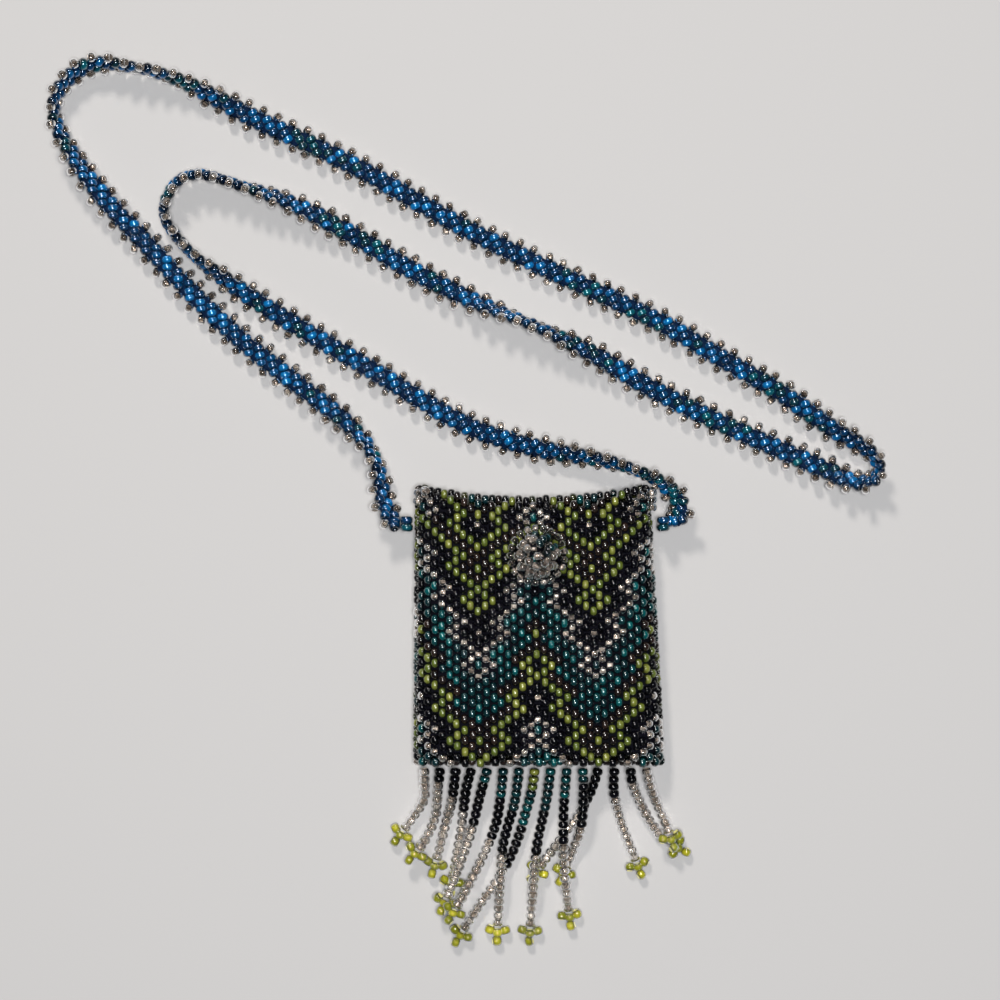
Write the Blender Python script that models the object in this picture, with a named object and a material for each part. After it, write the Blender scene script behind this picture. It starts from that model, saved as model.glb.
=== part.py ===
"""A beaded medicine bag lying on its back, with its fringe and its neck strap laid out flat.

Units are metres. +Y points to the mouth, +Z away from the table, and z = 0 is the table.
"""

import math

import bpy
import numpy as np
from mathutils import Vector

# Beads
BEAD_WIDTH = 0.0021  # outside diameter of one bead
BEAD_LENGTH = 0.0015  # along its hole
COLUMN_PITCH_TOP = 0.00155  # from one bead column to the next, at the mouth
COLUMN_PITCH_BOTTOM = 0.00163  # the same at the bottom, where the cloth is looser
ROW_PITCH = 0.00225  # from one bead to the next in a column
COLUMNS = 32
ROWS = 25
GROOVE = 0.0010  # depth of the groove between two beads
EDGE_FALL = 0.0007  # how far a bead sheet's outside falls away at its side edges
RESTING_BEADS = ((3, 1), (28, 1), (3, 23), (28, 23))  # the back lies on these: column, row
REST_LIFT = 0.00002  # how far the back's other beads stay above the table
FLAT_BEAD = (16, 12)  # the bead in the middle of the back that is flat outside: column, row
FLAT_SHARE = 0.45  # width of its flat, as a share of the bead
GAP = 0.0003  # between pieces that touch

# Pouch
HOLLOW = 0.0054  # inside height of the pouch, front to back
WALL_COLUMNS = 3  # bead columns in a side seam
WALL_ROWS = 2  # bead rows in the bottom seam

# Button and closing loop
BUTTON_WIDTH = 0.0100
BUTTON_HEIGHT = 0.0076
BUTTON_X = 0.0004
BUTTON_BELOW_MOUTH = 0.0138  # middle of the button below the top edge
LOOP_BEAD_WIDTH = 0.0017
LOOP_SLACK = 0.0001  # between the loop's beads and the ball, level with the top of the beads

# Fringe
STRAND_PITCH = 0.00155  # from bead to bead on a strand
STRAND_COLUMNS = 2  # bead columns from one strand to the next
NECK = 0.62  # width of the strand between two beads, as a share of a bead
TIP_REACH = 0.0019  # from the middle bead of a tip to each small bead
TIP_BEAD_WIDTH = 0.0019
DRAPE = 0.012  # length in which a strand comes down from the seam to the table
HUMP = 90.0  # how sharply a strand that crosses another comes down again, 1/m

# Strap
STRAP_WIDTH = 0.0060
STRAP_THICKNESS = 0.0021
STRAP_POINTS = 78
JOIN_BELOW_MOUTH = 0.0074  # middle of each strap join below the top edge
JOIN_BEADS = 3

HEIGHT = ROWS * ROW_PITCH + ROW_PITCH / 2
PANEL = BEAD_WIDTH
FRONT_LOW = PANEL + HOLLOW
FRONT_TOP = FRONT_LOW + PANEL
MIDDLE = PANEL + HOLLOW / 2
TOP = HEIGHT / 2
BOTTOM = -HEIGHT / 2

# Each strand's way from its root, in mm, right and down, its last point the middle of its tip.
STRAND_ROUTES = (
    ((0.0, 3.5), (-0.1, 6.6), (-2.5, 10.7), (-5.1, 14.2)),
    ((-0.4, 3.7), (-1.0, 9.9), (-3.1, 15.1), (-5.3, 17.9)),
    ((-0.8, 6.6), (-2.3, 12.4), (-3.6, 17.6), (-4.5, 20.6)),
    ((-1.2, 4.7), (-2.2, 12.8), (-3.1, 18.1), (-4.2, 24.4)),
    ((-1.6, 6.2), (-3.0, 12.0), (-5.0, 18.1), (-9.0, 28.1)),
    ((-0.6, 6.2), (-1.7, 12.4), (-4.7, 19.6), (-8.0, 25.8), (-10.4, 29.8)),
    ((-1.0, 7.6), (-3.3, 16.1), (-3.9, 24.1), (-4.5, 34.4)),
    ((-1.0, 6.2), (-3.9, 16.1), (-7.2, 22.5), (-12.4, 30.1), (-15.5, 35.0)),
    ((-1.0, 7.6), (-2.9, 16.9), (-3.7, 25.8), (-4.3, 34.5)),
    ((-0.6, 9.7), (-0.6, 19.0), (0.0, 25.8), (0.7, 31.3)),
    ((0.2, 6.2), (-0.4, 13.0), (-2.3, 18.6), (-3.9, 22.3)),
    ((-1.4, 4.7), (-3.9, 9.9), (-7.6, 14.8), (-12.8, 21.9)),
    ((0.0, 5.2), (1.5, 11.3), (3.6, 16.9), (5.1, 20.8)),
    ((0.8, 4.1), (3.9, 10.7), (7.0, 14.8), (10.3, 16.9)),
    ((1.6, 5.6), (4.1, 11.3), (5.3, 14.9)),
)
# The strands in the order in which they lie, lowest first.
LAYING_ORDER = (1, 3, 2, 4, 8, 5, 6, 7, 12, 11, 9, 10, 13, 14, 15)

# The strap's way from the left join to the right one, in mm from the middle of the bag,
# with its turn about its own length in degrees: 0 lies flat and 90 stands on its edge.
STRAP_ROUTE = (
    (-28.3, 21.0, 86),
    (-30.2, 22.6, 86),
    (-31.4, 25.9, 86),
    (-31.6, 29.0, 86),
    (-32.3, 33.0, 80),
    (-34.6, 37.5, 60),
    (-40.0, 43.1, 25),
    (-50.7, 51.3, 4),
    (-61.4, 59.8, 0),
    (-71.3, 69.3, 2),
    (-80.6, 79.4, 6),
    (-89.8, 89.4, 22),
    (-97.6, 101.0, 62),
    (-99.4, 108.0, 80),
    (-96.2, 113.4, 62),
    (-91.2, 116.2, 60),
    (-83.2, 115.6, 86),
    (-76.3, 113.9, 80),
    (-70.1, 111.3, 55),
    (-57.9, 105.0, 10),
    (-45.6, 99.4, 0),
    (-33.4, 93.2, 0),
    (-21.6, 86.4, 0),
    (-9.7, 80.0, 0),
    (2.7, 74.0, 0),
    (15.1, 68.2, 0),
    (27.2, 62.3, 2),
    (39.0, 55.3, 4),
    (50.7, 48.5, 10),
    (61.9, 40.6, 30),
    (69.0, 36.4, 60),
    (71.6, 32.0, 80),
    (67.5, 29.4, 52),
    (59.8, 32.6, 14),
    (47.4, 38.1, 2),
    (35.1, 43.7, 0),
    (22.9, 49.9, 4),
    (11.1, 56.9, 24),
    (-1.2, 62.5, 78),
    (-13.8, 67.8, 26),
    (-26.0, 74.0, 4),
    (-37.7, 81.0, 8),
    (-49.7, 87.2, 40),
    (-62.0, 91.4, 84),
    (-70.6, 93.6, 78),
    (-75.4, 90.0, 76),
    (-76.4, 84.2, 86),
    (-70.0, 76.3, 84),
    (-59.6, 68.7, 24),
    (-48.0, 61.4, 4),
    (-36.3, 54.6, 0),
    (-24.7, 47.6, 0),
    (-12.8, 41.0, 4),
    (0.2, 36.9, 20),
    (13.6, 34.4, 64),
    (22.0, 31.9, 84),
    (27.0, 29.2, 86),
    (30.2, 25.9, 86),
    (30.4, 22.6, 86),
    (28.3, 21.0, 86),
)
MM = 0.001


def material(name, colour, roughness, metallic=0.0):
    m = bpy.data.materials.new(name)
    m.use_nodes = True
    shader = m.node_tree.nodes["Principled BSDF"]
    shader.inputs["Base Color"].default_value = (*colour, 1.0)
    shader.inputs["Roughness"].default_value = roughness
    shader.inputs["Metallic"].default_value = metallic
    return m


def add(name, points, faces, finish, smooth=True):
    """A named object from its points and faces, with its own copy of a material."""
    mesh = bpy.data.meshes.new(name)
    mesh.from_pydata([tuple(p) for p in points], [], faces)
    mesh.validate()
    own = finish.copy()
    own.name = name
    mesh.materials.append(own)
    obj = bpy.data.objects.new(name, mesh)
    bpy.context.scene.collection.objects.link(obj)
    if smooth:
        mesh.shade_smooth()
        mesh.set_sharp_from_angle(angle=math.radians(50))
    return obj


def smooth_line(points, count):
    """A smooth curve through the points, read at equal steps along its length."""
    p = np.array(points, float)
    p = np.vstack([2 * p[0] - p[1], p, 2 * p[-1] - p[-2]])
    t = np.linspace(0, 1, 16, endpoint=False)[:, None]
    fine = [
        0.5
        * (
            2 * b
            + (c - a) * t
            + (2 * a - 5 * b + 4 * c - d) * t**2
            + (3 * b - 3 * c + d - a) * t**3
        )
        for a, b, c, d in zip(p[:-3], p[1:-2], p[2:-1], p[3:])
    ]
    fine = np.vstack([*fine, p[-2:-1]])
    along = np.concatenate([[0], np.cumsum(np.linalg.norm(np.diff(fine[:, :2], axis=0), axis=1))])
    at = np.linspace(0, along[-1], count)
    return np.stack([np.interp(at, along, fine[:, k]) for k in range(p.shape[1])], axis=1)


def half_width(y):
    """Half the width of the pouch at height y: it widens a little towards the bottom."""
    share = (TOP - y) / HEIGHT
    pitch = COLUMN_PITCH_TOP + (COLUMN_PITCH_BOTTOM - COLUMN_PITCH_TOP) * share
    return COLUMNS * pitch / 2


def panel_point(column, half_row, z):
    """A corner of the bead grid: column lines across, half-bead lines up."""
    y = BOTTOM + half_row * ROW_PITCH / 2
    return (half_width(y) * (2 * column / COLUMNS - 1), y, z)


def outline():
    """The bead sheet's stepped edge, anticlockwise from its bottom left corner."""
    low = [(c + k, c % 2) for c in range(COLUMNS) for k in (0, 1)]
    high = [(c + k, 2 * ROWS + c % 2) for c in reversed(range(COLUMNS)) for k in (1, 0)]
    first, last = 0, (COLUMNS - 1) % 2
    right = [(COLUMNS, r) for r in range(last + 1, 2 * ROWS + last)]
    left = [(0, r) for r in range(2 * ROWS + first - 1, first, -1)]
    return low + right + high + left


def edge_fall(column):
    """How far the sheet's outside has fallen away at this column line: all at the side edges."""
    return EDGE_FALL * abs(2 * column / COLUMNS - 1) ** 8


def bead_sheet(name, finish, rests):
    """A bead sheet of the pouch: flat inside, and one raised bead for each stitch outside.

    Each bead rises to a point. The back sheet, which rests, is the same sheet turned over:
    it lies on the points of four beads near its corners, and its middle bead is flat outside.
    """
    points, faces, number = [], [], {}

    def corner(column, half_row, z):
        key = (column, half_row, z)
        if key not in number:
            number[key] = len(points)
            x, y, _ = panel_point(column, half_row, z)
            points.append((x, y, z - (edge_fall(column) if z > FRONT_LOW else 0.0)))
        return number[key]

    def top_point(column, row, across=0.0, up=0.0):
        x, y, _ = panel_point(column + 0.5 + across, 2 * row + column % 2 + 1 + up, 0)
        fall = 0.0
        if not (rests and (column, row) in RESTING_BEADS):
            fall = edge_fall(column + 0.5) + (REST_LIFT if rests else 0.0)
        points.append((x, y, FRONT_TOP - fall))
        return len(points) - 1

    groove = FRONT_TOP - GROOVE
    half = FLAT_SHARE / 2
    for column in range(COLUMNS):
        for row in range(ROWS):
            low = 2 * row + column % 2
            ring = [corner(column + side, low + step, groove)
                    for side, step in ((0, 0), (1, 0), (1, 1), (1, 2), (0, 2), (0, 1))]
            if not (rests and (column, row) == FLAT_BEAD):
                crown = top_point(column, row)
                faces += [(ring[k], ring[(k + 1) % 6], crown) for k in range(6)]
                continue
            a, b, c, d = (top_point(column, row, x * half, 2 * y * half)
                          for x, y in ((-1, -1), (1, -1), (1, 1), (-1, 1)))
            faces += [(ring[0], ring[1], b, a), (ring[1], ring[2], b), (ring[2], c, b),
                      (ring[2], ring[3], c), (ring[3], ring[4], d, c), (ring[4], ring[5], d),
                      (ring[5], a, d), (ring[5], ring[0], a), (a, b, c, d)]
    edge = outline()
    for a, b in zip(edge, edge[1:] + edge[:1]):
        if a != b:
            faces.append((corner(*b, groove), corner(*a, groove),
                          corner(*a, FRONT_LOW), corner(*b, FRONT_LOW)))
    kept = [e for k, e in enumerate(edge) if e != edge[k - 1]]
    faces.append(tuple(corner(*e, FRONT_LOW) for e in reversed(kept)))
    if rests:
        points = [(x, y, 2 * MIDDLE - z) for x, y, z in points]
        faces = [tuple(reversed(f)) for f in faces]
    return add(name, points, faces, finish)


def bead_wall(name, finish, start, end, low, high, across, up, outward, thickness):
    """A seam between the sheets: a flat inner side, and across by up raised beads outside.

    start and end are the outer side's ends in plan, low and high its heights.
    """
    start, end, outward = (Vector((*v, 0.0)) for v in (start, end, outward))
    rise = Vector((0, 0, high - low))
    base = Vector((0, 0, low))

    def outer(i, j):
        return base + start + (end - start) * (i / across) + rise * (j / up) - outward * GROOVE

    points = [outer(i, j) for j in range(up + 1) for i in range(across + 1)]
    faces = []
    for j in range(up):
        for i in range(across):
            k = j * (across + 1) + i
            ring = (k, k + 1, k + across + 2, k + across + 1)
            crown = len(points)
            points.append((outer(i, j) + outer(i + 1, j + 1)) / 2 + outward * GROOVE)
            faces += [(ring[n], ring[(n + 1) % 4], crown) for n in range(4)]
    rim = list(range(across + 1))
    rim += [j * (across + 1) + across for j in range(1, up + 1)]
    rim += [up * (across + 1) + i for i in range(across - 1, -1, -1)]
    rim += [j * (across + 1) for j in range(up - 1, 0, -1)]
    inner = len(points)
    points += [points[r] - outward * (thickness - GROOVE) for r in rim]
    count = len(rim)
    faces += [(rim[(k + 1) % count], rim[k], inner + k, inner + (k + 1) % count)
              for k in range(count)]
    faces.append(tuple(inner + k for k in reversed(range(count))))
    return add(name, points, faces, finish)


def sweep(name, centres, sections, finish, ups=None):
    """A closed tube through centres. sections are (across, up) offsets round each centre."""
    centres = np.array(centres, float)
    along = np.gradient(centres, axis=0)
    along /= np.linalg.norm(along, axis=1)[:, None]
    up = np.tile([0.0, 0.0, 1.0], (len(centres), 1)) if ups is None else np.array(ups, float)
    across = np.cross(along, up)
    across /= np.linalg.norm(across, axis=1)[:, None]
    up = np.cross(across, along)
    sides = len(sections[0])
    points = [c + a * u + b * v
              for c, u, v, ring in zip(centres, across, up, sections) for a, b in ring]
    faces = [tuple(range(sides))]
    for k in range(len(centres) - 1):
        for n in range(sides):
            m = (n + 1) % sides
            faces.append((k * sides + n, (k + 1) * sides + n, (k + 1) * sides + m, k * sides + m))
    last = (len(centres) - 1) * sides
    faces.append(tuple(last + n for n in reversed(range(sides))))
    return add(name, points, faces, finish)


def circle(radius, sides=6):
    return [(radius * math.cos(2 * math.pi * k / sides), radius * math.sin(2 * math.pi * k / sides))
            for k in range(sides)]


def bead_string(name, line, width, finish, ups=None):
    """Beads on a string: line has a point at each bead's ends and one at its middle."""
    rings = [circle(width / 2 * (NECK if k % 2 == 0 else 1.0)) for k in range(len(line))]
    return sweep(name, line, rings, finish, ups)


def strand_lines():
    """The fringe strands as laid: each lies on the table or over the strands laid before it."""
    floor = BEAD_WIDTH / 2
    root_y = BOTTOM - GAP
    laid, lines = np.zeros((0, 4)), {}
    middle = (len(STRAND_ROUTES) + 1) / 2
    for number in LAYING_ORDER:
        root_x = (number - middle) * STRAND_COLUMNS * COLUMN_PITCH_BOTTOM
        route = [(0.0, 0.0), *STRAND_ROUTES[number - 1]]
        plan = np.array([(root_x + x * MM, root_y - y * MM) for x, y in route])
        length = np.linalg.norm(np.diff(smooth_line(plan, 60), axis=0), axis=1).sum()
        stop = TIP_BEAD_WIDTH / 2 + GAP
        beads = max(2, round((length - stop) / STRAND_PITCH))
        steps = 2 * beads + 1
        fine = smooth_line(plan, 400)
        along = np.linspace(0, length, 400)
        at = np.append(np.linspace(0, length - stop, steps), length)
        xy = np.stack([np.interp(at, along, fine[:, k]) for k in (0, 1)], axis=1)
        share = np.clip(at / DRAPE, 0, 1)
        falling = floor + (MIDDLE - floor) * (1 - share * share * (3 - 2 * share))
        heading = xy[-1] - xy[-3]
        heading /= np.linalg.norm(heading)
        tips = np.array([xy[-1] + TIP_REACH * turned(heading, a) for a in TIP_ANGLES])
        need = falling.copy()
        last = len(xy) - 1
        seen = [(xy[k], k, BEAD_WIDTH / 2) for k in range(4, last)]
        seen += [(point, last, TIP_BEAD_WIDTH / 2) for point in (xy[last], *tips)]
        for point, k, radius in seen:
            flat = np.linalg.norm(laid[:, :2] - point, axis=1)
            clear = laid[:, 3] + radius + GAP
            near = flat < clear
            if near.any():
                over = laid[near, 2] + np.sqrt(clear[near] ** 2 - flat[near] ** 2)
                need = np.maximum(need, over.max() - HUMP * (at - at[k]) ** 2)
        lines[number] = (np.column_stack([xy[:-1], need[:-1]]), np.append(xy[-1], need[-1]), heading)
        wide = np.full(len(xy), BEAD_WIDTH / 2)
        wide[-1] = TIP_BEAD_WIDTH / 2
        laid = np.vstack([laid, np.column_stack([xy, need, wide]),
                          *[(*t, need[-1], TIP_BEAD_WIDTH / 2) for t in tips]])
    return lines


TIP_ANGLES = (0.0, math.radians(110), math.radians(-110))


def turned(heading, angle):
    c, s = math.cos(angle), math.sin(angle)
    return np.array([c * heading[0] - s * heading[1], s * heading[0] + c * heading[1]])


def fringe_tip(name, middle, heading, finish):
    """Three small beads round a fourth, as one clover-shaped solid."""
    spokes = [(turned(heading, a) * TIP_REACH, TIP_BEAD_WIDTH / 2) for a in TIP_ANGLES]
    balls = [(np.array([*xy, 0.0]), r) for xy, r in spokes] + [(np.zeros(3), TIP_BEAD_WIDTH / 2)]

    def reach(direction):
        far = 0.0
        for centre, radius in balls:
            along = float(centre @ direction)
            inside = radius**2 - (float(centre @ centre) - along**2)
            if inside > 0:
                far = max(far, along + math.sqrt(inside))
        return far

    azimuths = [math.radians(a) for a in (0, 25, 55, 85, 110, 135, 180, 225, 250, 275, 305, 335)]
    heights = [math.radians(a) for a in (-55, -25, 0, 25, 55)]
    points, count = [], len(azimuths)
    for height in heights:
        for azimuth in azimuths:
            flat = turned(heading, azimuth) * math.cos(height)
            direction = np.array([*flat, math.sin(height)])
            points.append(np.array(middle) + direction * reach(direction))
    low, high = len(points), len(points) + 1
    points += [np.array(middle) + (0, 0, s * TIP_BEAD_WIDTH / 2) for s in (-1, 1)]
    faces = []
    for j in range(len(heights) - 1):
        for k in range(count):
            m = (k + 1) % count
            faces.append((j * count + k, j * count + m, (j + 1) * count + m, (j + 1) * count + k))
    last = (len(heights) - 1) * count
    for k in range(count):
        m = (k + 1) % count
        faces.append((low, m, k))
        faces.append((high, last + k, last + m))
    return add(name, points, faces, finish)


def turned_ball(name, profile, centre, sides, finish):
    """A round solid from its profile of (radius, height), lowest first, closed at both ends."""
    points, faces = [], []
    for radius, height in profile:
        points += [(centre[0] + x, centre[1] + y, height) for x, y in circle(radius, sides)]
    for j in range(len(profile) - 1):
        for k in range(sides):
            m = (k + 1) % sides
            faces.append((j * sides + k, j * sides + m, (j + 1) * sides + m, (j + 1) * sides + k))
    faces.append(tuple(reversed(range(sides))))
    last = (len(profile) - 1) * sides
    faces.append(tuple(last + k for k in range(sides)))
    return add(name, points, faces, finish)


def bead_ring(name, centre, radius, height, width, finish):
    """Beads on a closed ring of thread: thick at each bead, narrow between two."""
    beads = max(8, round(2 * math.pi * radius / width))
    points, faces, sides = [], [], 6
    for k in range(2 * beads):
        angle = math.pi * k / beads
        thick = width / 2 * (1.0 if k % 2 else NECK)
        for a, b in circle(thick, sides):
            out = radius + a
            points.append((centre[0] + out * math.cos(angle), centre[1] + out * math.sin(angle),
                           height + b))
    total = 2 * beads
    for k in range(total):
        for n in range(sides):
            m, j = (n + 1) % sides, (k + 1) % total
            faces.append((k * sides + n, j * sides + n, j * sides + m, k * sides + m))
    return add(name, points, faces, finish)


def strap(finish):
    """The neck strap as one plain band that lies flat and turns on its edge at its bends."""
    left = half_width(JOIN_Y) + BEAD_WIDTH + STRAP_THICKNESS / 2 + GAP
    route = [list(p) for p in STRAP_ROUTE]
    route[0][0], route[-1][0] = -left / MM, left / MM
    route[0][1] = route[-1][1] = JOIN_Y / MM
    line = smooth_line(np.array(route) * (MM, MM, 1.0), STRAP_POINTS)
    turn = np.radians(line[:, 2])
    w, t = STRAP_WIDTH / 2, STRAP_THICKNESS / 2
    shape = np.array([(-w, 0), (-0.85 * w, -t), (0.85 * w, -t), (w, 0), (0.85 * w, t), (-0.85 * w, t)])
    sections, heights = [], []
    for angle in turn:
        c, s = math.cos(angle), math.sin(angle)
        ring = shape @ np.array([(c, s), (-s, c)])
        sections.append([tuple(p) for p in ring])
        heights.append(-ring[:, 1].min())
    along = np.linspace(0, 1, len(line))
    ends = np.maximum(0, 1 - np.minimum(along, 1 - along) / 0.03)
    heights = np.array(heights)
    heights += (MIDDLE - heights) * np.clip(ends, 0, 1) ** 1.5
    centres = np.column_stack([line[:, :2], heights])
    return sweep("strap", centres, sections, finish)


JOIN_Y = TOP - JOIN_BELOW_MOUTH


def main():
    for obj in list(bpy.data.objects):
        bpy.data.objects.remove(obj, do_unlink=True)
    olive = material("olive beads", (0.42, 0.50, 0.14), 0.2)
    black = material("black beads", (0.02, 0.02, 0.04), 0.15)
    brown = material("brown beads", (0.13, 0.06, 0.05), 0.2)
    teal = material("teal beads", (0.0, 0.27, 0.30), 0.15)
    crystal = material("clear beads", (0.60, 0.55, 0.50), 0.1)
    gold = material("gold beads", (0.62, 0.58, 0.16), 0.15)
    blue = material("blue beads", (0.0, 0.22, 0.46), 0.15)

    bead_sheet("front_panel", olive, rests=False)
    bead_sheet("back_panel", black, rests=True)

    low, high = PANEL + GAP, FRONT_LOW - GAP
    top, bottom = TOP - ROW_PITCH / 2, BOTTOM + ROW_PITCH / 2
    wide_top, wide_bottom = half_width(top), half_width(bottom)
    bead_wall("left_seam", brown, (-wide_top, top), (-wide_bottom, bottom), low, high,
              ROWS - 1, WALL_COLUMNS, (-1, 0), BEAD_WIDTH)
    bead_wall("right_seam", brown, (wide_bottom, bottom), (wide_top, top), low, high,
              ROWS - 1, WALL_COLUMNS, (1, 0), BEAD_WIDTH)
    inside = wide_bottom - BEAD_WIDTH - 2 * GAP
    bead_wall("bottom_seam", teal, (-inside, BOTTOM), (inside, BOTTOM), low, high,
              COLUMNS - 4, WALL_ROWS, (0, -1), BEAD_WIDTH)

    centre = (BUTTON_X, TOP - BUTTON_BELOW_MOUTH)
    foot = FRONT_TOP + GAP
    half = BUTTON_WIDTH / 2
    base, crown, rings = math.radians(-50), math.radians(80), 9
    rise = BUTTON_HEIGHT / (math.sin(crown) - math.sin(base))
    angles = [base + (crown - base) * k / (rings - 1) for k in range(rings)]
    profile = [(half * math.cos(a), foot + rise * (math.sin(a) - math.sin(base))) for a in angles]
    turned_ball("button", profile, centre, 16, crystal)
    level = min(LOOP_BEAD_WIDTH / rise + math.sin(base), 0.0)
    loop_radius = half * math.sqrt(1 - level**2) + LOOP_BEAD_WIDTH / 2 + LOOP_SLACK
    bead_ring("closing_loop", centre, loop_radius, foot + LOOP_BEAD_WIDTH / 2,
              LOOP_BEAD_WIDTH, crystal)

    lie = foot + BEAD_WIDTH / 2
    edge = half_width(TOP)
    left_tuft = smooth_line([(-edge + 0.0008, TOP - 0.0034), (-edge + 0.0009, TOP - 0.0010),
                             (-edge + 0.0030, TOP - 0.0006)], 2 * JOIN_BEADS + 1)
    bead_string("corner_beads_left", np.column_stack([left_tuft, np.full(len(left_tuft), lie)]),
                BEAD_WIDTH, crystal)
    right_tuft = smooth_line([(edge - 0.0009, TOP - 0.0048), (edge - 0.0009, TOP - 0.0002)],
                             2 * JOIN_BEADS + 1)
    bead_string("corner_beads_right", np.column_stack([right_tuft, np.full(len(right_tuft), lie)]),
                BEAD_WIDTH, crystal)

    join_x = half_width(JOIN_Y) + GAP + BEAD_WIDTH / 2
    join_half = min(JOIN_BEADS * STRAND_PITCH, HOLLOW - 2 * GAP) / 2
    for name, side in (("strap_join_left", -1), ("strap_join_right", 1)):
        heights = np.linspace(MIDDLE - join_half, MIDDLE + join_half, 2 * JOIN_BEADS + 1)
        stack = np.column_stack([np.full(len(heights), side * join_x),
                                 np.full(len(heights), JOIN_Y), heights])
        bead_string(name, stack, BEAD_WIDTH, teal, np.tile([0.0, 1.0, 0.0], (len(heights), 1)))

    strap(blue)

    for number, (line, middle, heading) in sorted(strand_lines().items()):
        bead_string(f"fringe_strand_{number:02d}", line, BEAD_WIDTH, crystal)
        fringe_tip(f"fringe_tip_{number:02d}", middle, heading, gold)

    pieces = [o for o in bpy.data.objects if o.type == "MESH"]
    corners = np.array([v.co for o in pieces if o.name != "strap" for v in o.data.vertices])
    middle = (corners.min(axis=0) + corners.max(axis=0)) / 2
    origin = bpy.data.objects.new("bag", None)
    bpy.context.scene.collection.objects.link(origin)
    origin.location = (-middle[0], -middle[1], 0.0)
    for obj in pieces:
        obj.parent = origin


main()
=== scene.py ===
"""The looks of the beaded medicine bag: glass beads, thread, pale table, light and camera.

Units are metres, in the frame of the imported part: +Y to the mouth, +Z up, z = 0 the table.
"""

import math

import bpy
import numpy as np
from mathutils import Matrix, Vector


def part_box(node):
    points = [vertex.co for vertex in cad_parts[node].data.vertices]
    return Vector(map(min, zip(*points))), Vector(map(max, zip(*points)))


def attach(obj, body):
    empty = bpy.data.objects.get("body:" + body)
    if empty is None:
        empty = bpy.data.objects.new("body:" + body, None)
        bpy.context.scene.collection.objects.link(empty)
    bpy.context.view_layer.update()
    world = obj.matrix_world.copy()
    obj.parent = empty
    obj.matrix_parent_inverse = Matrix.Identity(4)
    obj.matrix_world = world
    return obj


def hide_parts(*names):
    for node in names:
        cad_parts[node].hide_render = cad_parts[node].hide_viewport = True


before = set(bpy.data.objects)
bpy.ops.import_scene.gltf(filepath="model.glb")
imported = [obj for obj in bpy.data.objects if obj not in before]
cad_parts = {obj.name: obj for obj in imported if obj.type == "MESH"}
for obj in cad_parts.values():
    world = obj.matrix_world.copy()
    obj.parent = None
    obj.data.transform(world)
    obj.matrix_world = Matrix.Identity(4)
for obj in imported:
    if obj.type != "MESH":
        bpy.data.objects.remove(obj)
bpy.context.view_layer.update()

MM = 0.001
CHANCE = np.random.default_rng(7)

# The bag's own sizes, the same as in the part's source
BEAD_WIDTH = 0.0021
BEAD_LENGTH = 0.0015
COLUMN_PITCH_TOP = 0.00155
COLUMN_PITCH_BOTTOM = 0.00163
ROW_PITCH = 0.00225
COLUMNS = 32
ROWS = 25
GAP = 0.0003
HOLLOW = 0.0054
SIDE_COLUMNS = 3
BUTTON_X = 0.0004
BUTTON_BELOW_MOUTH = 0.0138
LOOP_BEAD_WIDTH = 0.0017
STRAND_PITCH = 0.00155
STRAND_COLUMNS = 2
TIP_REACH = 0.0019
TIP_BEAD_WIDTH = 0.0019
DRAPE = 0.012
HUMP = 90.0
STRAP_THICKNESS = 0.0021
JOIN_BELOW_MOUTH = 0.0074
JOIN_BEADS = 3

HEIGHT = ROWS * ROW_PITCH + ROW_PITCH / 2
FRONT_LOW = BEAD_WIDTH + HOLLOW
FRONT_TOP = FRONT_LOW + BEAD_WIDTH
MIDDLE = BEAD_WIDTH + HOLLOW / 2
TOP = HEIGHT / 2
BOTTOM = -HEIGHT / 2
JOIN_Y = TOP - JOIN_BELOW_MOUTH

low_corner, high_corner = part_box("back_panel")
BAG = np.array([(low_corner.x + high_corner.x) / 2, (low_corner.y + high_corner.y) / 2, 0.0])

STRAND_ROUTES = (
    ((0.0, 3.5), (-0.1, 6.6), (-2.5, 10.7), (-5.1, 14.2)),
    ((-0.4, 3.7), (-1.0, 9.9), (-3.1, 15.1), (-5.3, 17.9)),
    ((-0.8, 6.6), (-2.3, 12.4), (-3.6, 17.6), (-4.5, 20.6)),
    ((-1.2, 4.7), (-2.2, 12.8), (-3.1, 18.1), (-4.2, 24.4)),
    ((-1.6, 6.2), (-3.0, 12.0), (-5.0, 18.1), (-9.0, 28.1)),
    ((-0.6, 6.2), (-1.7, 12.4), (-4.7, 19.6), (-8.0, 25.8), (-10.4, 29.8)),
    ((-1.0, 7.6), (-3.3, 16.1), (-3.9, 24.1), (-4.5, 34.4)),
    ((-1.0, 6.2), (-3.9, 16.1), (-7.2, 22.5), (-12.4, 30.1), (-15.5, 35.0)),
    ((-1.0, 7.6), (-2.9, 16.9), (-3.7, 25.8), (-4.3, 34.5)),
    ((-0.6, 9.7), (-0.6, 19.0), (0.0, 25.8), (0.7, 31.3)),
    ((0.2, 6.2), (-0.4, 13.0), (-2.3, 18.6), (-3.9, 22.3)),
    ((-1.4, 4.7), (-3.9, 9.9), (-7.6, 14.8), (-12.8, 21.9)),
    ((0.0, 5.2), (1.5, 11.3), (3.6, 16.9), (5.1, 20.8)),
    ((0.8, 4.1), (3.9, 10.7), (7.0, 14.8), (10.3, 16.9)),
    ((1.6, 5.6), (4.1, 11.3), (5.3, 14.9)),
)
LAYING_ORDER = (1, 3, 2, 4, 8, 5, 6, 7, 12, 11, 9, 10, 13, 14, 15)
TIP_ANGLES = (0.0, math.radians(110), math.radians(-110))
PLUMP = 0.00018  # how much wider the fringe's glass beads are than their solid

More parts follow.
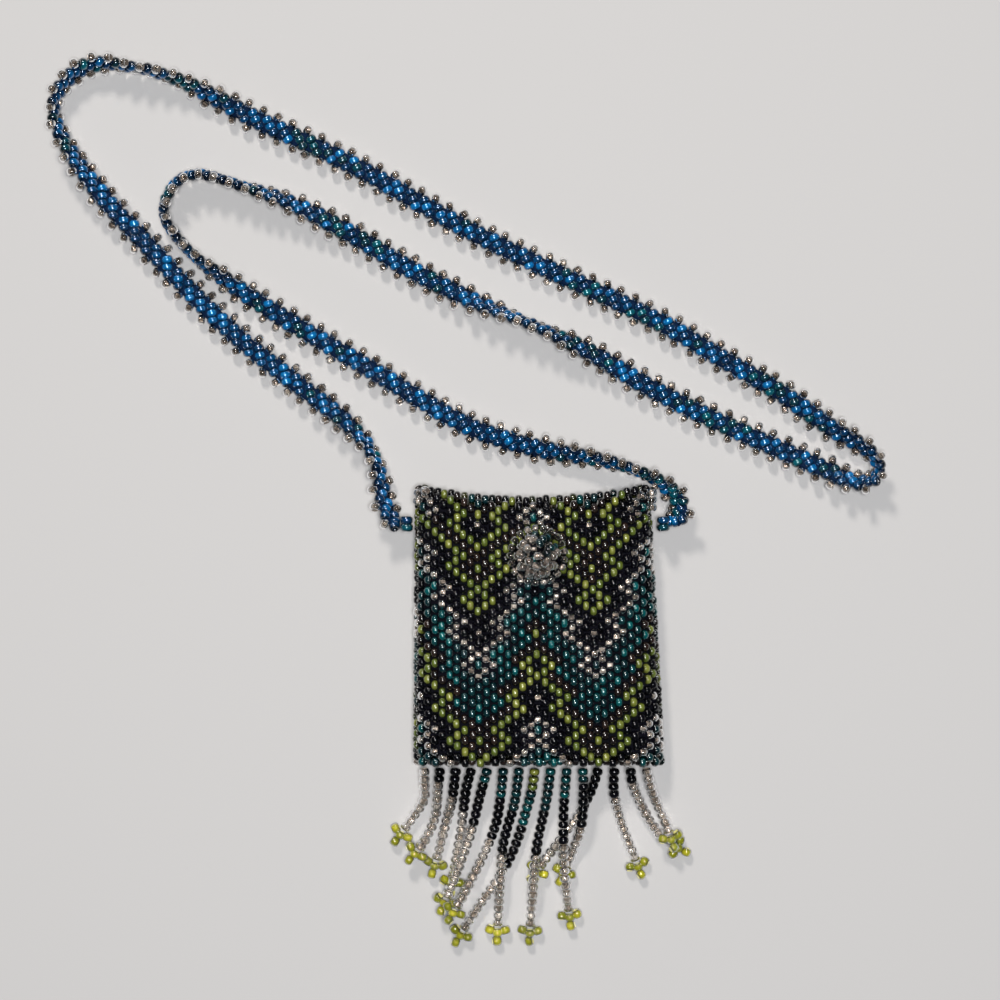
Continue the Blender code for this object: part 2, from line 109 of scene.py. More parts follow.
# The strap's way in mm from the middle of the bag, with its turn in degrees.
STRAP_ROUTE = (
    (-28.3, 21.0, 86), (-30.2, 22.6, 86), (-31.4, 25.9, 86), (-31.6, 29.0, 86),
    (-32.3, 33.0, 80), (-34.6, 37.5, 60), (-40.0, 43.1, 25), (-50.7, 51.3, 4),
    (-61.4, 59.8, 0), (-71.3, 69.3, 2), (-80.6, 79.4, 6), (-89.8, 89.4, 22),
    (-97.6, 101.0, 62), (-99.4, 108.0, 80), (-96.2, 113.4, 62), (-91.2, 116.2, 60),
    (-83.2, 115.6, 86), (-76.3, 113.9, 80), (-70.1, 111.3, 55), (-57.9, 105.0, 10),
    (-45.6, 99.4, 0), (-33.4, 93.2, 0), (-21.6, 86.4, 0), (-9.7, 80.0, 0),
    (2.7, 74.0, 0), (15.1, 68.2, 0), (27.2, 62.3, 2), (39.0, 55.3, 4),
    (50.7, 48.5, 10), (61.9, 40.6, 30), (69.0, 36.4, 60), (71.6, 32.0, 80),
    (67.5, 29.4, 52), (59.8, 32.6, 14), (47.4, 38.1, 2), (35.1, 43.7, 0),
    (22.9, 49.9, 4), (11.1, 56.9, 24), (-1.2, 62.5, 78), (-13.8, 67.8, 26),
    (-26.0, 74.0, 4), (-37.7, 81.0, 8), (-49.7, 87.2, 40), (-62.0, 91.4, 84),
    (-70.6, 93.6, 78), (-75.4, 90.0, 76), (-76.4, 84.2, 86), (-70.0, 76.3, 84),
    (-59.6, 68.7, 24), (-48.0, 61.4, 4), (-36.3, 54.6, 0), (-24.7, 47.6, 0),
    (-12.8, 41.0, 4), (0.2, 36.9, 20), (13.6, 34.4, 64), (22.0, 31.9, 84),
    (27.0, 29.2, 86), (30.2, 25.9, 86), (30.4, 22.6, 86), (28.3, 21.0, 86),
)

# Looks only
PHOTO_SCALE = 4.85  # photo pixels to a millimetre on the bag
PHOTO_MIDDLE_OF_BAG = (535.0, 627.0)  # photo pixels
CAMERA_HEIGHT = 0.62
SENSOR = 36.0
UNIT_PITCH = 0.0033  # from one slanted column of the strap to the next
COLUMN_SLANT = math.radians(40)
BAND_BEAD_WIDTH = 1.17 * BEAD_WIDTH
BAND_BEAD_LENGTH = BEAD_LENGTH * 1.14
PICOT_OUT = 0.00250  # from the strap's middle line to a picot bead
PICOT_WIDTH = 0.0023
PICOT_LENGTH = 0.0016
PICOT_LAG = 0.0009  # past half a pitch, backward on one edge and forward on the other
PICOT_TILT = 0.35  # how far a picot's hole leans from the strap's heading, at random
SLANTED_STEP = BEAD_LENGTH * 1.02  # between the beads of a slanted column
THREAD_INSET = 0.0004  # from the strap's end to its thread core
END_RISE = 0.03  # share of the strap that climbs to the joins
END_SHARE = 0.2  # of a pitch, from the strap's end to its first column
STRAP_CORE = (0.0016, 0.0005)  # half the width and half the thickness of the thread core
CORE_RINGS, CORE_SIDES = 420, 10
FINE_STEPS, PATH_STEPS = 2400, 240  # steps along the strap for its beads and for its path
HEADING_REACH = 0.0008  # how far ahead and behind the strap's heading is read
HELD_SHARE, HELD_FADE = 0.026, 0.012  # shares of the strap that the joins hold flatter
CLEAR_OF_TABLE = 0.0002
TIP_SPOKE_LENGTH, TIP_MIDDLE_LENGTH = 0.0018, 0.0016
TIP_PLUMP = 1.5 * PLUMP
JOIN_PLUMP = 3 * PLUMP
# The button's rings in mm: radius, height over its foot and how many beads.
BUTTON_RINGS = ((3.3, 1.0, 10), (4.05, 2.6, 12), (3.55, 4.3, 10), (2.25, 5.8, 6))
BUTTON_MIDDLE = 2.6  # mm over its foot
BUTTON_TOP = 6.6  # mm over its foot
BUTTON_BEAD = (0.0020, 0.0015)  # width and length
BUTTON_TOP_BEAD = (0.0018, 0.0015)
TEAL_PATCH, TEAL_REACH = 0.95, 0.75  # radians round the button, and half the patch's width
LOOP_BEAD_LENGTH = 0.0014
CLOTH_BEAD_LENGTH, CLOTH_BEAD_GROWTH = 0.00149, 0.0001  # at the mouth, and more at the foot
SEAM_SHIFT = 0.9  # mm to the right, as the foot of the cloth
SEAM_HALF_GAP = 0.00095  # from the middle to each of the foot's two rows
CORNER_SEAT = 0.85  # bead widths from the front's middle skin to a corner bead
WEB_ROUND, WEB_STEPS, WEB_SKIN, WEB_RIM = 140, 48, 0.0004, 0.035


# ---------------------------------------------------------------- camera, light and table

def photo_point(px, py):
    """Where a photo pixel falls in the part's frame: the bag's middle plus the pixels from the
    photo's middle of the bag over the scale."""
    x = (px - PHOTO_MIDDLE_OF_BAG[0]) / PHOTO_SCALE * MM + BAG[0]
    y = (PHOTO_MIDDLE_OF_BAG[1] - py) / PHOTO_SCALE * MM + BAG[1]
    return x, y


def make_camera():
    camera = bpy.data.objects.new("camera", bpy.data.cameras.new("camera"))
    bpy.context.scene.collection.objects.link(camera)
    x, y = photo_point(500, 500)
    camera.location = (x, y, CAMERA_HEIGHT)
    camera.data.sensor_width = SENSOR
    seen = 1000 / PHOTO_SCALE * MM
    camera.data.lens = SENSOR * (CAMERA_HEIGHT - 0.004) / seen
    camera.data.clip_start = 0.05
    camera.data.clip_end = 20.0
    bpy.context.scene.camera = camera


def area_lamp(name, place, aim, size, energy, colour):
    lamp = bpy.data.lights.new(name, "AREA")
    lamp.shape = "DISK"
    lamp.size = size
    lamp.energy = energy
    lamp.color = colour
    obj = bpy.data.objects.new(name, lamp)
    bpy.context.scene.collection.objects.link(obj)
    obj.location = place
    obj.rotation_euler = (Vector(aim) - Vector(place)).to_track_quat("-Z", "Y").to_euler()


def make_light():
    """A small softbox nearly overhead, a warmer one beyond the strap and a soft cool room."""
    aim = (0.0, 0.04, 0.0)
    area_lamp("overhead_softbox", (0.02, 0.02, 0.95), aim, 0.22, 6.9, (0.99, 0.99, 1.0))
    area_lamp("window_softbox", (-0.33, 1.05, 0.95), aim, 0.24, 8.6, (1.0, 0.94, 0.87))
    world = bpy.data.worlds.new("room")
    world.use_nodes = True
    bpy.context.scene.world = world
    back = world.node_tree.nodes["Background"]
    back.inputs["Color"].default_value = (0.80, 0.90, 1.0, 1.0)
    back.inputs["Strength"].default_value = 0.06


def make_table():
    """The pale warm-grey sheet that the bag lies on."""
    size = 3.0
    mesh = bpy.data.meshes.new("table")
    mesh.from_pydata([(-size, -size, 0), (size, -size, 0), (size, size, 0), (-size, size, 0)],
                     [], [(0, 1, 2, 3)])
    table = bpy.data.objects.new("table", mesh)
    bpy.context.scene.collection.objects.link(table)
    finish = bpy.data.materials.new("pale_table")
    finish.use_nodes = True
    shader = finish.node_tree.nodes["Principled BSDF"]
    shader.inputs["Base Color"].default_value = (0.605, 0.597, 0.592, 1)
    shader.inputs["Roughness"].default_value = 0.6
    shader.inputs["Specular IOR Level"].default_value = 0.2
    mesh.materials.append(finish)


# ---------------------------------------------------------------- finishes

CLOUDS_PER_METRE = 1400.0
CLOUD_ROUGHNESS = 0.03
COAT_ROUGHNESS = 0.05


def bead_shade_group():
    """Node group: a bead's colour, a little lighter or darker from bead to bead at random
    (attribute tone), darkened by painted shade towards its hole ends and on the sides that face
    its neighbours (a second attribute, 1 where the bead faces out of the cloth), and clouded by
    fine noise."""
    group = bpy.data.node_groups.new("bead_shade", "ShaderNodeTree")
    face = group.interface
    face.new_socket("Colour", in_out="INPUT", socket_type="NodeSocketColor")
    face.new_socket("Second Colour", in_out="INPUT", socket_type="NodeSocketColor")
    for name, value in (("Spread", 0.3), ("Painted Shade Depth", 0.5), ("Roughness", 0.15)):
        face.new_socket(name, in_out="INPUT", socket_type="NodeSocketFloat").default_value = value
    face.new_socket("Colour", in_out="OUTPUT", socket_type="NodeSocketColor")
    face.new_socket("Roughness", in_out="OUTPUT", socket_type="NodeSocketFloat")
    nodes, links = group.nodes, group.links
    given = nodes.new("NodeGroupInput")
    out = nodes.new("NodeGroupOutput")
    tone = nodes.new("ShaderNodeAttribute")
    tone.attribute_name = "tone"
    painted_lit_share = nodes.new("ShaderNodeAttribute")
    painted_lit_share.attribute_name = "painted_lit_share"
    where = nodes.new("ShaderNodeTexCoord")
    noise = nodes.new("ShaderNodeTexNoise")
    noise.inputs["Scale"].default_value = CLOUDS_PER_METRE
    noise.inputs["Detail"].default_value = 2.0
    links.new(where.outputs["Object"], noise.inputs["Vector"])
    pick = nodes.new("ShaderNodeMix")
    pick.data_type = "RGBA"
    links.new(tone.outputs["Fac"], pick.inputs["Factor"])
    links.new(given.outputs["Colour"], pick.inputs["A"])
    links.new(given.outputs["Second Colour"], pick.inputs["B"])

    def math_node(kind, a, b):
        node = nodes.new("ShaderNodeMath")
        node.operation = kind
        for socket, value in zip(node.inputs, (a, b)):
            if isinstance(value, float):
                socket.default_value = value
            else:
                links.new(value, socket)
        return node.outputs[0]

    cloud = math_node("MULTIPLY", math_node("SUBTRACT", noise.outputs["Fac"], 0.5),
                      given.outputs["Spread"])
    # Painted shade: the colour is darkened where the bead's painted-light attribute is below 1,
    # at its hole ends and on the sides facing its neighbours, by the given shade depth.
    inward = math_node("SUBTRACT", 1.0, painted_lit_share.outputs["Fac"])
    painted_shade_amount = math_node("MULTIPLY", inward, given.outputs["Painted Shade Depth"])
    gain = math_node("SUBTRACT", math_node("ADD", cloud, 1.0), painted_shade_amount)
    scale = nodes.new("ShaderNodeVectorMath")
    scale.operation = "SCALE"
    links.new(pick.outputs["Result"], scale.inputs[0])
    links.new(gain, scale.inputs["Scale"])
    links.new(scale.outputs[0], out.inputs["Colour"])
    rough = math_node("ADD", given.outputs["Roughness"],
                      math_node("MULTIPLY", noise.outputs["Fac"], CLOUD_ROUGHNESS))
    links.new(rough, out.inputs["Roughness"])
    return group


def bead_finish(name, group, colour, second, roughness, painted_shade_depth=0.5, spread=0.3, glass=0.0,
                metal=0.0, coat=0.0, shine=0.5, bending=1.52, gloss=1.7):
    """A bead's material. bending is the index of its glass and gloss that of its coat."""
    m = bpy.data.materials.new(name)
    m.use_nodes = True
    tree = m.node_tree
    shader = tree.nodes["Principled BSDF"]
    shade = tree.nodes.new("ShaderNodeGroup")
    shade.node_tree = group
    shade.inputs["Colour"].default_value = (*colour, 1)
    shade.inputs["Second Colour"].default_value = (*second, 1)
    shade.inputs["Spread"].default_value = spread
    # painted shade: how much darker the bead is painted at its hole ends and on its sides that
    # face its neighbours
    shade.inputs["Painted Shade Depth"].default_value = painted_shade_depth
    shade.inputs["Roughness"].default_value = roughness
    tree.links.new(shade.outputs["Colour"], shader.inputs["Base Color"])
    tree.links.new(shade.outputs["Roughness"], shader.inputs["Roughness"])
    shader.inputs["Transmission Weight"].default_value = glass
    shader.inputs["Metallic"].default_value = metal
    shader.inputs["Coat Weight"].default_value = coat
    shader.inputs["Coat Roughness"].default_value = COAT_ROUGHNESS
    shader.inputs["Coat IOR"].default_value = gloss
    shader.inputs["IOR"].default_value = bending
    shader.inputs["Specular IOR Level"].default_value = shine
    return m


# ---------------------------------------------------------------- beads

# Outline of a round bead from its widest girth to its hole and back: along its hole in lengths,
# out in radii.
ROUND_BEAD = np.array([(0.0, 1.0), (0.27, 0.93), (0.44, 0.74), (0.47, 0.50),
                       (0.0, 0.48), (-0.47, 0.50), (-0.44, 0.74), (-0.27, 0.93)])
ROUND_SIDES = 8
SQUARE_HOLE = 0.78  # a lined bead's hole is square: the middle of its sides over its corners
LINED_HOLE = 1.34  # a lined bead's hole is this much wider than a plain one's
WIDTH_CHANCE, LENGTH_CHANCE = 0.02, 0.035  # how much beads differ, as shares
TONE_POWER = 2.2  # above 1, so that most beads keep near their first colour


def unit(v):
    return v / np.linalg.norm(v, axis=-1, keepdims=True)


class Beads:
    """Beads to be made into one mesh: place, hole direction, width, length and colour of each,
    and the direction in which it faces out of the bead cloth."""

    def __init__(self):
        self.rows = []

    def add(self, place, axis, width, length, colour, outward=(0.0, 0.0, 1.0)):
        place = np.atleast_2d(np.asarray(place, float))
        n = len(place)
        axis = np.broadcast_to(np.asarray(axis, float), (n, 3))
        self.rows.append(np.column_stack([
            place, unit(axis), np.broadcast_to(width, n), np.broadcast_to(length, n),
            np.broadcast_to(colour, n), np.broadcast_to(np.asarray(outward, float), (n, 3))]))

    def all(self):
        return np.vstack(self.rows)


def bead_mesh(name, beads, finishes, lining=(), inside="lining", jitter=0.03):
    """One mesh of many beads. Each is the bead outline turned round its hole: place + hole
    direction * along + (two directions square to it) * cos and sin of the angle * out.

    finishes maps a colour number to its material. lining holds the colours whose wide square
    hole has a lining, and inside names that lining's finish."""
    rows = beads.all()
    used = sorted(set(rows[:, 8].astype(int)))
    slots = [finishes[c] for c in used]
    if any(c in lining for c in used):
        slots.append(finishes[inside])
    outline, sides = ROUND_BEAD, ROUND_SIDES
    n, p = len(rows), len(outline)
    axis = unit(rows[:, 3:6] + CHANCE.normal(0, jitter, (n, 3)))
    helper = np.where(np.abs(axis[:, 2:3]) < 0.8, [[0.0, 0.0, 1.0]], [[1.0, 0.0, 0.0]])
    first = unit(np.cross(axis, helper))
    second = np.cross(axis, first)
    spin = CHANCE.uniform(0, 2 * np.pi, n)
    angle = spin[:, None] + 2 * np.pi * np.arange(sides) / sides
    width = rows[:, 6] * CHANCE.normal(1, WIDTH_CHANCE, n)
    length = rows[:, 7] * CHANCE.normal(1, LENGTH_CHANCE, n)
    spoke = (np.cos(angle)[..., None] * first[:, None]
             + np.sin(angle)[..., None] * second[:, None])
    along = axis[:, None, None, :] * (outline[:, 0][None, :, None, None]
                                      * length[:, None, None, None])

    # a lined bead's hole is wider, and square: the middle of each side lies nearer
    inner = outline[:, 1] <= 0.5
    lined = np.array([int(c) in lining for c in rows[:, 8]])
    wide = lined[:, None, None] & inner[None, :, None]
    square = wide & (np.arange(sides) % 2 == 1)[None, None]
    reach = outline[:, 1][None, :, None] * np.where(square, SQUARE_HOLE, 1.0)
    reach = reach * np.where(wide, LINED_HOLE, 1.0)
    out = spoke[:, None, :, :] * (reach * width[:, None, None] / 2)[..., None]
    points = (rows[:, None, None, :3] + along + out).reshape(-1, 3)

    j, s = np.meshgrid(np.arange(p), np.arange(sides), indexing="ij")
    j1, s1 = (j + 1) % p, (s + 1) % sides
    quad = np.stack([j * sides + s, j1 * sides + s, j1 * sides + s1, j * sides + s1], axis=-1)
    quad = quad.reshape(-1, 4)
    faces = (quad[None] + (np.arange(n) * p * sides)[:, None, None]).reshape(-1, 4)
    own = np.array([used.index(int(c)) for c in rows[:, 8]])
    own = np.repeat(own[:, None], len(quad), axis=1)
    hole = np.repeat(inner & np.roll(inner, -1), sides)
    flat = lined[:, None] & hole[None]
    own = np.where(flat, len(slots) - 1, own)

    # tone varies from bead to bead at random; the painted-light share is 1 where a bead bulges
    # out of the cloth and falls off towards its hole ends and the sides that face its neighbours,
    # where shade is painted into its colour
    tone = np.repeat(CHANCE.uniform(0, 1, n) ** TONE_POWER, p * sides)
    rise = np.clip((outline[:, 1] - 0.70) / 0.30, 0, 1)
    facing = np.einsum("nsk,nk->ns", spoke, unit(rows[:, 9:12]))
    facing = np.clip((facing + 0.25) / 1.05, 0, 1)
    painted_lit_share = (rise[None, :, None] ** 1.3 * facing[:, None, :] ** 2).reshape(-1)
    return put_mesh(name, points, faces, slots, own.reshape(-1), (~flat).reshape(-1),
                    {"tone": tone, "painted_lit_share": painted_lit_share})


def tube_mesh(name, rings, material):
    """A tube through rings of points, with a fan to a middle point at each end."""
    count, around = rings.shape[:2]
    points = np.vstack([rings.reshape(-1, 3), rings[0].mean(0), rings[-1].mean(0)])
    j, k = np.meshgrid(np.arange(count - 1), np.arange(around), indexing="ij")
    k1 = (k + 1) % around
    skin = np.stack([j * around + k, j * around + k1, (j + 1) * around + k1,
                     (j + 1) * around + k], -1).reshape(-1, 4)
    k = np.arange(around)
    k1 = (k + 1) % around
    first, last = count * around, count * around + 1
    end = (count - 1) * around
    mesh = bpy.data.meshes.new(name)
    mesh.from_pydata(points, [], [*skin.tolist(),
                                  *np.stack([k1, k, 0 * k + first], 1).tolist(),
                                  *np.stack([end + k, end + k1, 0 * k + last], 1).tolist()])
    mesh.polygons.foreach_set("use_smooth", np.ones(len(mesh.polygons), bool))
    mesh.materials.append(material)
    obj = bpy.data.objects.new(name, mesh)
    bpy.context.scene.collection.objects.link(obj)
    return obj


def put_mesh(name, points, faces, materials, index=None, smooth=True, values=None):
    """Puts whole arrays of points and four-sided faces into a new mesh object."""
    mesh = bpy.data.meshes.new(name)
    mesh.vertices.add(len(points))
    mesh.vertices.foreach_set("co", np.asarray(points, np.float32).ravel())
    mesh.loops.add(faces.size)
    mesh.loops.foreach_set("vertex_index", faces.astype(np.int32).ravel())
    mesh.polygons.add(len(faces))
    mesh.polygons.foreach_set("loop_start", np.arange(0, faces.size, 4, dtype=np.int32))
    mesh.polygons.foreach_set("use_smooth", np.broadcast_to(smooth, len(faces)).astype(bool))
    for m in materials:
        mesh.materials.append(m)
    if index is not None:
        mesh.polygons.foreach_set("material_index", index.astype(np.int32))
    mesh.update(calc_edges=True)
    for key, value in (values or {}).items():
        attribute = mesh.attributes.new(key, "FLOAT", "POINT")
        attribute.data.foreach_set("value", value.astype(np.float32))
    obj = bpy.data.objects.new(name, mesh)
    bpy.context.scene.collection.objects.link(obj)
    return obj


# ---------------------------------------------------------------- the chart of the pouch

OLIVE, BLACK, BROWN, TEAL, CRYSTAL, GOLD, BLUE, DEEP_TEAL, SMOKE = range(9)

# Hooked V lines as (columns from the nearest V's middle, beads down from the mouth).
LIME_V_TOP = ((8, -1), (2, 2), (4, 3), (0, 5))
LIME_V_MIDDLE = ((8, 3), (2, 6), (4, 7), (0, 9))
SILVER_V = ((8, 5), (6, 6), (8, 7), (4, 9), (6, 10), (2, 12), (4, 13), (0, 15))
LIME_V_LOW = tuple((u, t + 10) for u, t in SILVER_V)
SILVER_V_LOW = ((8, 21), (6, 22), (8, 23), (4, 25))


def on_line(u, t, line):
    """Beads whose middle lies on a hooked line: within a quarter bead of one of its legs."""
    hit = np.zeros(u.shape, bool)
    for (u0, t0), (u1, t1) in zip(line[:-1], line[1:]):
        inside = (u >= min(u0, u1)) & (u <= max(u0, u1))
        hit |= inside & (np.abs(t - t0 - (t1 - t0) * (u - u0) / (u1 - u0)) < 0.26)
    return hit


def below_line(u, t, line):
    """Beads below a hooked line: an odd number of its legs passes above them."""
    odd = np.zeros(u.shape, bool)
    shifted = u + np.where(u < 4, 0.01, -0.01)
    for (u0, t0), (u1, t1) in zip(line[:-1], line[1:]):
        inside = (shifted > min(u0, u1)) & (shifted < max(u0, u1))
        odd ^= inside & (t0 + (t1 - t0) * (shifted - u0) / (u1 - u0) < t)
    return odd


def chart(u, t):
    """The colour of each bead from its column u, counted 0 to 8 from the nearest V's middle,
    and its place t, counted in beads down from the mouth."""
    level = t + u / 2
    colour = np.full(u.shape, BLACK)
    colour[level <= 2.1] = BROWN
    colour[level <= 1.1] = TEAL
    below_top = below_line(u, t, LIME_V_TOP)
    below_middle = below_line(u, t, LIME_V_MIDDLE)
    below_silver = below_line(u, t, SILVER_V)
    below_low = below_line(u, t, LIME_V_LOW)
    below_last = below_line(u, t, SILVER_V_LOW)
    colour[below_top & (level > 5.4)] = BROWN
    colour[below_top & (level <= 5.4)] = BLACK
    colour[below_middle] = BLACK
    colour[below_silver] = TEAL
    brown_edge = tuple((a, b - 3.6) for a, b in LIME_V_LOW)
    colour[below_silver & below_line(u, t, brown_edge)] = BROWN
    colour[below_low] = BLACK
    colour[below_last] = TEAL
    for line, own in ((LIME_V_TOP, OLIVE), (SILVER_V, CRYSTAL), (LIME_V_MIDDLE, OLIVE),
                      (LIME_V_LOW, OLIVE), (SILVER_V_LOW, CRYSTAL)):
        colour[on_line(u, t, line)] = own

    def ring(u0, t0, own, heart):
        away = np.abs(t - t0) + np.abs(u - u0) / 2
        colour[np.abs(away - 1) < 0.2] = own
        colour[away < 0.2] = heart

    ring(0, 10, OLIVE, BLACK)
    ring(0, 16, CRYSTAL, TEAL)
    arch = (np.abs(np.abs(t - 2) + np.abs(u - 8) / 2 - 1) < 0.2) & (t < 2.9)
    colour[arch] = CRYSTAL
    colour[(u == 8) & (t == 2)] = TEAL
    colour[(u == 8) & (t == 6)] = TEAL
    colour[(u == 8) & (t == 22)] = TEAL
    for t0, own in ((2, OLIVE), (3, CRYSTAL), (7, OLIVE), (13, CRYSTAL), (23, OLIVE)):
        colour[(u == 0) & (t == t0)] = own
    for t0, own in ((9, BLACK), (13, OLIVE), (19, CRYSTAL)):
        colour[(u == 8) & (t == t0)] = own
    return colour


# ---------------------------------------------------------------- the pouch

def pouch_section(share, count):
    """A round-cornered flat section at share of the way down from the mouth: points at equal
    steps along |x / a|^8 + |z / b|^2 = 1, from the middle of the front towards +X."""
    a = (23.45 + 1.65 * share) * MM
    b = thickness(share) / 2
    angle = np.linspace(0, 2 * np.pi, 4001)
    x = a * np.sign(np.sin(angle)) * np.abs(np.sin(angle)) ** (2 / 8)
    z = b * np.sign(np.cos(angle)) * np.abs(np.cos(angle)) ** (2 / 2)
    along = np.concatenate([[0], np.cumsum(np.hypot(np.diff(x), np.diff(z)))])
    at = (np.asarray(count) % 1.0) * along[-1]
    return np.interp(at, along, x), np.interp(at, along, z), along[-1]


def thickness(share):
    """From the front beads' middle plane to the back beads': less at the mouth and the foot."""
    full = 2 * (FRONT_TOP - BEAD_WIDTH / 2 - MIDDLE)
    mouth = 0.72 + 0.28 * np.clip(share / 0.16, 0, 1) ** 0.7
    foot = np.sqrt(np.clip(1 - np.clip((share - 0.93) / 0.09, 0, 1) ** 2, 0.0, 1))
    return full * mouth * (0.35 + 0.65 * foot)


GIRTH_COLUMNS = 2 * (COLUMNS + SIDE_COLUMNS)
PATTERN_SHIFT = 0.5  # columns that the pattern sits left of the middle
WEB_FOOT = 0.955  # share of the way down at which the inner threads end


def lip(x, z, share):
    """How far the mouth is out of true: both lips sag in the middle and stand up at the corners,
    the back one a little higher, and this fades out on the way down."""
    fade = (1 - share) ** 1.5
    bow = 1 - (x / 0.024) ** 2
    return MM * fade * np.where(z > 0, 0.9 - 2.6 * bow, 1.1 - 2.5 * bow)


def cloth_lean(share):
    """The cloth hangs a little askew: 0.5 mm to the left at its mouth, 0.87 mm to the right at
    its foot."""
    return (-0.5 + 1.37 * share) * MM


def pouch_beads():
    """Where each bead of the pouch lies: column round the girth, beads down from the mouth."""
    column = np.arange(GIRTH_COLUMNS)
    place, axis, where = [], [], []
    for row in range(ROWS):
        t = ROWS - row - 0.5 * (column % 2)
        share = (t - 0.5) / ROWS
        around = (column - (COLUMNS - 1) / 2 - PATTERN_SHIFT) / GIRTH_COLUMNS
        x, z, x2, z2 = (np.empty(len(column)) for _ in range(4))
        for parity in (0, 1):
            own = column % 2 == parity
            s = share[own][0]
            x[own], z[own], _ = pouch_section(s, around[own])
            x2[own], z2[own], _ = pouch_section(s, around[own] + 0.002)
        y = BOTTOM + (ROWS - t + 0.5) * ROW_PITCH
        place.append(np.column_stack([x + cloth_lean(share), y + lip(x, z, share), z + MIDDLE]))
        axis.append(np.column_stack([x2 - x, 0 * x, z2 - z]))
        where.append(np.column_stack([column, t]))
    place, axis, where = np.vstack(place), unit(np.vstack(axis)), np.vstack(where)
    place += CHANCE.normal(0, 0.00007, place.shape)
    place[:, 2] = np.maximum(place[:, 2], BEAD_WIDTH / 2 + 0.0001)
    place += BAG
    return place, axis, where


def make_pouch(finishes):
    place, axis, where = pouch_beads()
    outward = np.cross([0.0, 1.0, 0.0], axis) * -1.0
    column, t = where.T
    middle_column = COLUMNS / 4
    u = np.abs((column % (COLUMNS / 2)) - middle_column)
    colour = chart(u, t)
    length = CLOTH_BEAD_LENGTH + CLOTH_BEAD_GROWTH * t / ROWS
    parts = {
        "front_beads": (column < COLUMNS, "front_panel", "olive_beads"),
        "right_side_beads": ((column >= COLUMNS) & (column < COLUMNS + SIDE_COLUMNS),
                             "right_seam", "brown_beads"),
        "back_beads": ((column >= COLUMNS + SIDE_COLUMNS) & (column < 2 * COLUMNS + SIDE_COLUMNS),
                       "back_panel", "black_beads"),
        "left_side_beads": (column >= 2 * COLUMNS + SIDE_COLUMNS, "left_seam", "brown_beads"),
    }
    for name, (own, node, slot) in parts.items():
        beads = Beads()
        beads.add(place[own], axis[own], BEAD_WIDTH, length[own], colour[own], outward[own])
        piece = bead_mesh(name, beads, finishes, lining=(CRYSTAL,))
        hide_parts(node)
        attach(piece, "root")


def make_bottom_seam(finishes):
    """Two rows of beads that close the foot of the pouch."""
    beads = Beads()
    count = COLUMNS - 4
    x = (np.arange(count) - (count - 1) / 2) * COLUMN_PITCH_BOTTOM + SEAM_SHIFT * MM
    for z in (MIDDLE - SEAM_HALF_GAP, MIDDLE + SEAM_HALF_GAP):
        y = np.full(count, BOTTOM + BEAD_WIDTH / 2 + 0.0001)
        place = np.column_stack([x, y, np.full(count, z)]) + BAG
        colour = np.where(np.abs(np.arange(count) % 16 - 6) > 5, TEAL, BROWN)
        beads.add(place, (1, 0, 0), BEAD_WIDTH * 0.9, BEAD_LENGTH, colour)
    piece = bead_mesh("bottom_seam_beads", beads, finishes)
    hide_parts("bottom_seam")
    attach(piece, "root")


def make_web(finish):
    """The thread inside the bead cloth: a thin tube of the pouch's own section, from the mouth
    to the foot on its outer skin and back up on its inner one, closed at both rims."""
    around = WEB_ROUND
    skins = [(s, 0.0) for s in np.linspace(WEB_RIM, WEB_FOOT, WEB_STEPS)]
    skins += [(s, WEB_SKIN) for s in np.linspace(WEB_FOOT, WEB_RIM, WEB_STEPS)]
    rings = []
    for share, inward in skins:
        x, z, _ = pouch_section(share, np.arange(around) / around)
        size = np.stack([x, z], axis=1)
        size -= np.stack([np.sign(x) * np.minimum(np.abs(x), inward),
                          np.sign(z) * np.minimum(np.abs(z), inward)], axis=1)
        t = share * ROWS + 0.5
        y = BOTTOM + (ROWS - t + 0.5) * ROW_PITCH
        rings.append(np.column_stack([size[:, 0] + cloth_lean(share), y + lip(x, z, share),
                                      size[:, 1] + MIDDLE]) + BAG)
    points = np.vstack(rings)
    j, k = np.meshgrid(np.arange(len(rings)), np.arange(around), indexing="ij")
    j1, k1 = (j + 1) % len(rings), (k + 1) % around
    faces = np.stack([j * around + k, j * around + k1, j1 * around + k1, j1 * around + k], -1)
    web = put_mesh("thread_web", points, faces.reshape(-1, 4), [finish])
    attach(web, "root")
    return web


# ---------------------------------------------------------------- lines of part and strap

def smooth_line(points, count):
    """A smooth curve through the points, read at equal steps along its length."""
    p = np.array(points, float)
    p = np.vstack([2 * p[0] - p[1], p, 2 * p[-1] - p[-2]])
    t = np.linspace(0, 1, 16, endpoint=False)[:, None]
    fine = [0.5 * (2 * b + (c - a) * t + (2 * a - 5 * b + 4 * c - d) * t**2
                   + (3 * b - 3 * c + d - a) * t**3)
            for a, b, c, d in zip(p[:-3], p[1:-2], p[2:-1], p[3:])]
    fine = np.vstack([*fine, p[-2:-1]])
    along = np.concatenate([[0], np.cumsum(np.linalg.norm(np.diff(fine[:, :2], axis=0), axis=1))])
    at = np.linspace(0, along[-1], count)
    return np.stack([np.interp(at, along, fine[:, k]) for k in range(p.shape[1])], axis=1)


def half_width(y):
    share = (TOP - y) / HEIGHT
    pitch = COLUMN_PITCH_TOP + (COLUMN_PITCH_BOTTOM - COLUMN_PITCH_TOP) * share
    return COLUMNS * pitch / 2


def eased(line, window=0.009):
    """The same line with its corners eased: each point is the mean, weighted by a Hann window,
    of the line's points within half the window, and the two ends stay where they are."""
    length = np.linalg.norm(np.diff(line[:, :2], axis=0), axis=1).sum()
    reach = max(1, int(round(window / 2 / length * (len(line) - 1))))
    before = 2 * line[0] - line[reach:0:-1]
    after = 2 * line[-1] - line[-2:-2 - reach:-1]
    weights = np.hanning(2 * reach + 3)[1:-1]
    long = np.vstack([before, line, after])
    return np.stack([np.convolve(long[:, k], weights / weights.sum(), "valid")
                     for k in range(line.shape[1])], axis=1)


